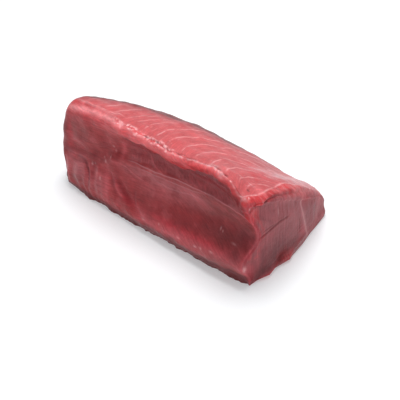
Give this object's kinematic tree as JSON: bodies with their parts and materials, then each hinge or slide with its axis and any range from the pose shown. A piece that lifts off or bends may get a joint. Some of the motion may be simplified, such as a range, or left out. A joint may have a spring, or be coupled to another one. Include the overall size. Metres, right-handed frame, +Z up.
{
  "type": "raw tuna loin block",
  "caption": "Thick block cut from a raw tuna loin, with a hollow front face, a lumpy ridge, a rounded top and a flat base.",
  "frame": {"origin": "middle of the block's bounding box, at the height of its base", "axes": "+X along the block towards its near cut end, -Y out of the hollow front face, +Z up from the base"},
  "size_m": [0.2553, 0.1424, 0.1123],
  "materials": {
    "flesh": "wet, slightly translucent raw flesh"
  },
  "bodies": {
    "root": {"tuna_block": "flesh"}
  },
  "joints": []
}
